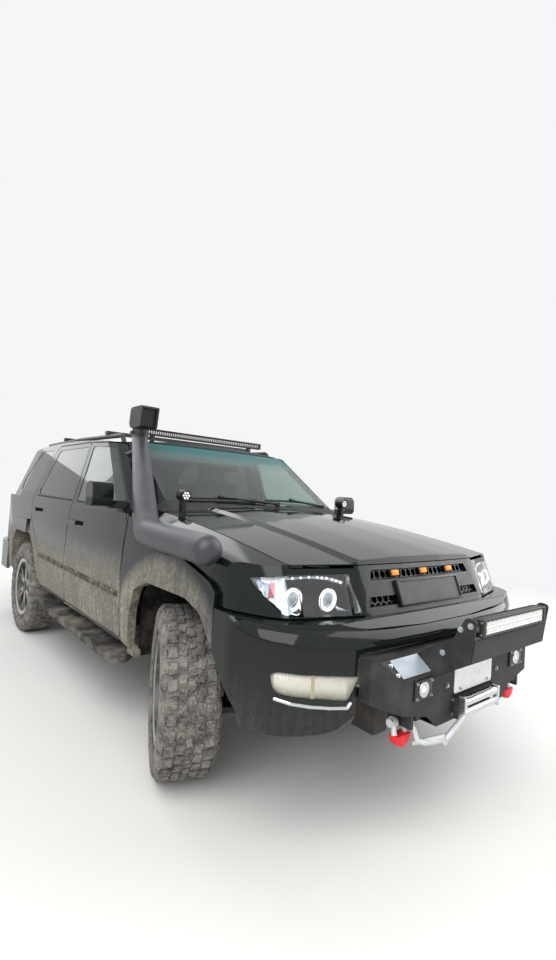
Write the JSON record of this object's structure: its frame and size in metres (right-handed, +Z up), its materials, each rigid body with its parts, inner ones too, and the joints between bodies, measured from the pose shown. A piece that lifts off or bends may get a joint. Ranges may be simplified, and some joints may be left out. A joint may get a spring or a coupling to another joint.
{
  "type": "lifted off-road 4x4 station wagon",
  "caption": "Lifted five-door off-road wagon with winch bumper, snorkel, roof lights, side steps, opening doors, steering and rolling wheels",
  "frame": {"origin": "on the ground under the middle of the whole length, on the centre line", "axes": "+X towards the vehicle's left, +Y towards its rear, +Z up"},
  "size_m": [2.17, 5.151, 1.879],
  "materials": {
    "body_paint": "polished",
    "chassis_paint": "satin",
    "under_paint": "matte",
    "bar_black": "matte",
    "grille_black": "polished",
    "duct_plastic": "matte",
    "lamp_black": "satin",
    "lamp_clear": "polished",
    "lamp_red": "polished",
    "window_glass": "polished",
    "plate_white": "satin",
    "bright_steel": "satin",
    "cast_alloy": "satin",
    "cast_iron": "matte",
    "step_rubber": "matte",
    "tyre_rubber": "matte",
    "rim_black": "polished",
    "trim_grey": "matte",
    "trim_black": "matte",
    "seat_leather": "matte"
  },
  "bodies": {
    "vehicle": {"frame": "chassis_paint", "floor": "under_paint", "cowl": "under_paint", "side_left": "body_paint", "side_right": "body_paint", "roof": "body_paint", "fender_left": "body_paint", "fender_right": "body_paint", "front_panel": "body_paint", "grille": "grille_black", "headlamps": "lamp_clear", "front_bumper": "body_paint", "fog_lamps": "lamp_clear", "winch_bumper": "bar_black", "winch": "bar_black", "shackles": "bright_steel", "number_plate": "plate_white", "light_bar": "lamp_clear", "windscreen": "window_glass", "quarter_glass": "window_glass", "tail_lamps": "lamp_red", "rear_bumper": "body_paint", "roof_rails": "bar_black", "roof_light_bar": "lamp_black", "snorkel": "duct_plastic", "side_steps": "step_rubber", "wheel_liners": "duct_plastic", "radiator": "cast_alloy", "engine": "cast_iron", "exhaust": "bright_steel", "fuel_tank": "duct_plastic", "front_suspension": "chassis_paint", "rear_axle": "cast_iron", "dashboard": "trim_grey", "steering_wheel": "trim_black", "front_seats": "seat_leather", "rear_seat": "seat_leather"},
    "hood": {"hood": "body_paint", "ditch_lights": "lamp_black"},
    "tailgate": {"tailgate": "body_paint", "tailgate_glass": "window_glass"},
    "door_front_left": {"door_front_left": "body_paint", "glass_front_left": "window_glass"},
    "wheel_front_left": {"tyre_front_left": "tyre_rubber", "rim_front_left": "rim_black"},
    "door_rear_left": {"door_rear_left": "body_paint", "glass_rear_left": "window_glass"},
    "wheel_rear_left": {"tyre_rear_left": "tyre_rubber", "rim_rear_left": "rim_black"},
    "knuckle_left": {"knuckle_left": "cast_iron"},
    "door_front_right": {"door_front_right": "body_paint", "glass_front_right": "window_glass"},
    "wheel_front_right": {"tyre_front_right": "tyre_rubber", "rim_front_right": "rim_black"},
    "door_rear_right": {"door_rear_right": "body_paint", "glass_rear_right": "window_glass"},
    "wheel_rear_right": {"tyre_rear_right": "tyre_rubber", "rim_rear_right": "rim_black"},
    "knuckle_right": {"knuckle_right": "cast_iron"}
  },
  "joints": [
    {"name": "steer_left", "type": "hinge", "parent": "vehicle", "child": "knuckle_left", "pos_m": [0.715, -1.3625, 0.395], "axis": [0, 0, 1], "range_deg": [-9.6, 54.4]},
    {"name": "spin_front_left", "type": "hinge", "parent": "knuckle_left", "child": "wheel_front_left", "pos_m": [0.79544, -1.39565, 0.395], "axis": [0.9245, -0.3811, 0], "continuous": true},
    {"name": "spin_rear_left", "type": "hinge", "parent": "vehicle", "child": "wheel_rear_left", "pos_m": [0.802, 1.4275, 0.395], "axis": [1, 0, 0], "continuous": true},
    {"name": "swing_front_left", "type": "hinge", "parent": "vehicle", "child": "door_front_left", "pos_m": [0.94, -0.8005, 0.8], "axis": [-0.0797, 0, 0.9968], "range_deg": [-65, 0]},
    {"name": "swing_rear_left", "type": "hinge", "parent": "vehicle", "child": "door_rear_left", "pos_m": [0.94, 0.2315, 0.8], "axis": [-0.0797, 0, 0.9968], "range_deg": [-65, 0]},
    {"name": "steer_right", "type": "hinge", "parent": "vehicle", "child": "knuckle_right", "pos_m": [-0.715, -1.3625, 0.395], "axis": [0, 0, 1], "range_deg": [-9.6, 54.4]},
    {"name": "spin_front_right", "type": "hinge", "parent": "knuckle_right", "child": "wheel_front_right", "pos_m": [-0.79544, -1.32935, 0.395], "axis": [0.9245, -0.3811, 0], "continuous": true},
    {"name": "spin_rear_right", "type": "hinge", "parent": "vehicle", "child": "wheel_rear_right", "pos_m": [-0.802, 1.4275, 0.395], "axis": [1, 0, 0], "continuous": true},
    {"name": "swing_front_right", "type": "hinge", "parent": "vehicle", "child": "door_front_right", "pos_m": [-0.94, -0.8005, 0.8], "axis": [0.0797, 0, 0.9968], "range_deg": [0, 65]},
    {"name": "swing_rear_right", "type": "hinge", "parent": "vehicle", "child": "door_rear_right", "pos_m": [-0.94, 0.2315, 0.8], "axis": [0.0797, 0, 0.9968], "range_deg": [0, 65]},
    {"name": "lift_hood", "type": "hinge", "parent": "vehicle", "child": "hood", "pos_m": [0, -0.9365, 1.275], "axis": [1, 0, 0], "range_deg": [-55, 0]},
    {"name": "lift_tailgate", "type": "hinge", "parent": "vehicle", "child": "tailgate", "pos_m": [0, 2.0965, 1.697], "axis": [1, 0, 0], "range_deg": [0, 80]}
  ],
  "couplings": [
    {"joint": "steer_right", "follows": "steer_left", "ratio": 1}
  ]
}
